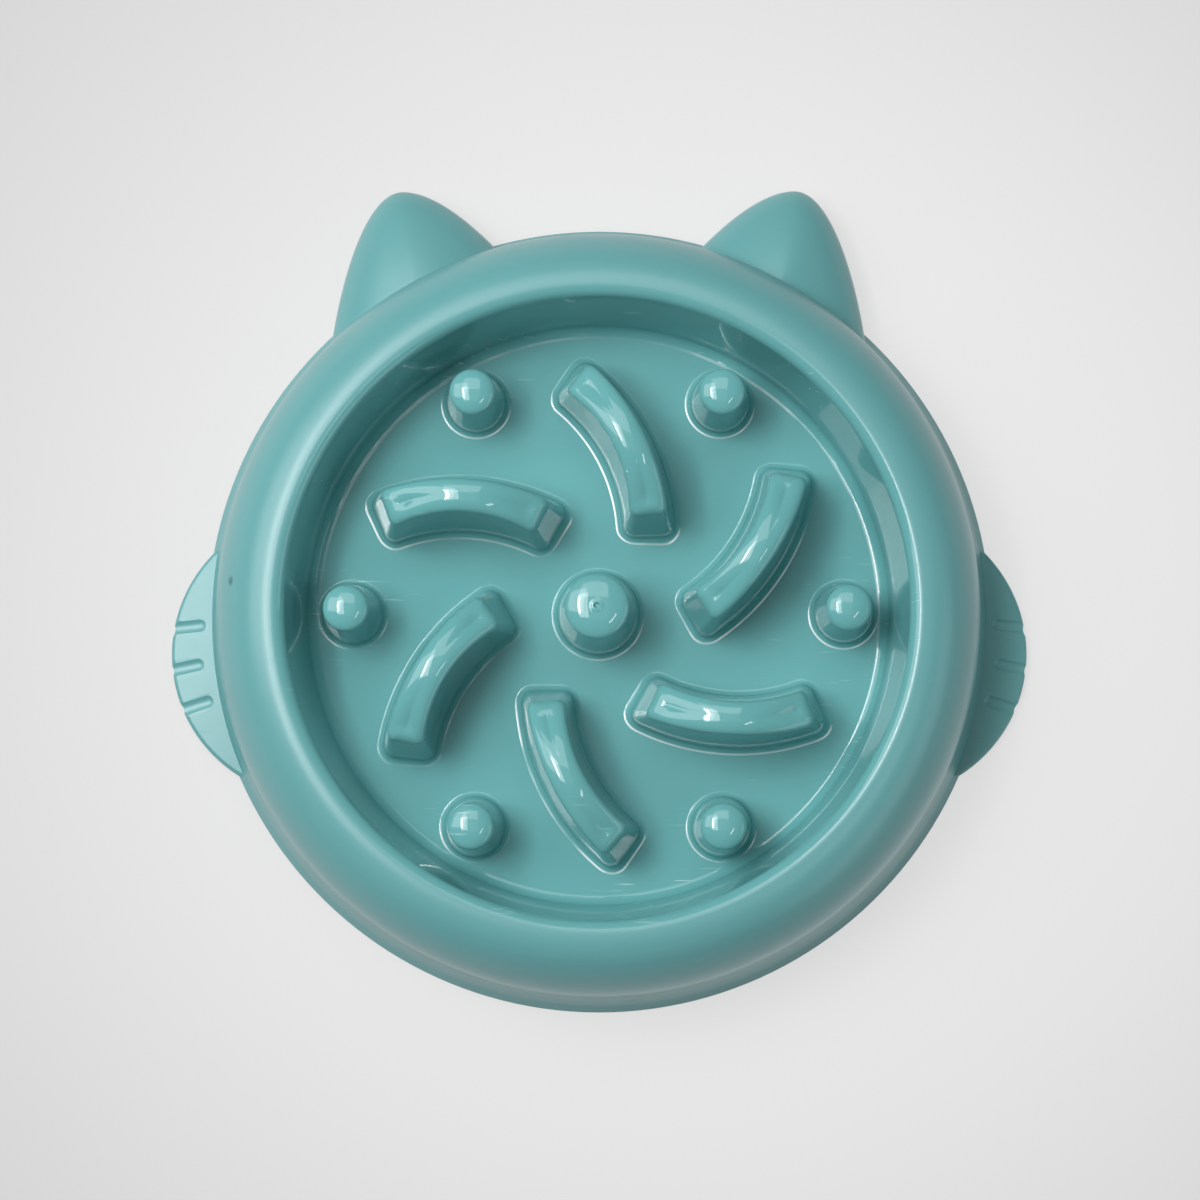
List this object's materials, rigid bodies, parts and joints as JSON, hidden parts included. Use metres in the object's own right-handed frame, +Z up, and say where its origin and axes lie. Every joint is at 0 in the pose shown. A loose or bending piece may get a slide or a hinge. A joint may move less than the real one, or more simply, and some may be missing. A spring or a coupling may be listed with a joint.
{
  "type": "slow feeder bowl",
  "caption": "Shallow pet bowl with a domed rim, animal ears and cheeks, and conical pegs and curved ridges in the well that slow eating; stands on rubber feet.",
  "frame": {"origin": "middle of the bounding box at the table surface, directly under the bowl's middle plane", "axes": "+Z up out of the well, +Y towards the ears, +X towards the right cheek when the ears point away"},
  "size_m": [0.2268, 0.2181, 0.044],
  "materials": {
    "bowl_plastic": "satin outside and on the rim, glossy in the well",
    "foot_rubber": "matt"
  },
  "bodies": {
    "root": {"bowl": "bowl_plastic", "right_foot": "foot_rubber", "rear_right_foot": "foot_rubber", "rear_left_foot": "foot_rubber", "left_foot": "foot_rubber", "front_left_foot": "foot_rubber", "front_right_foot": "foot_rubber"}
  },
  "joints": []
}
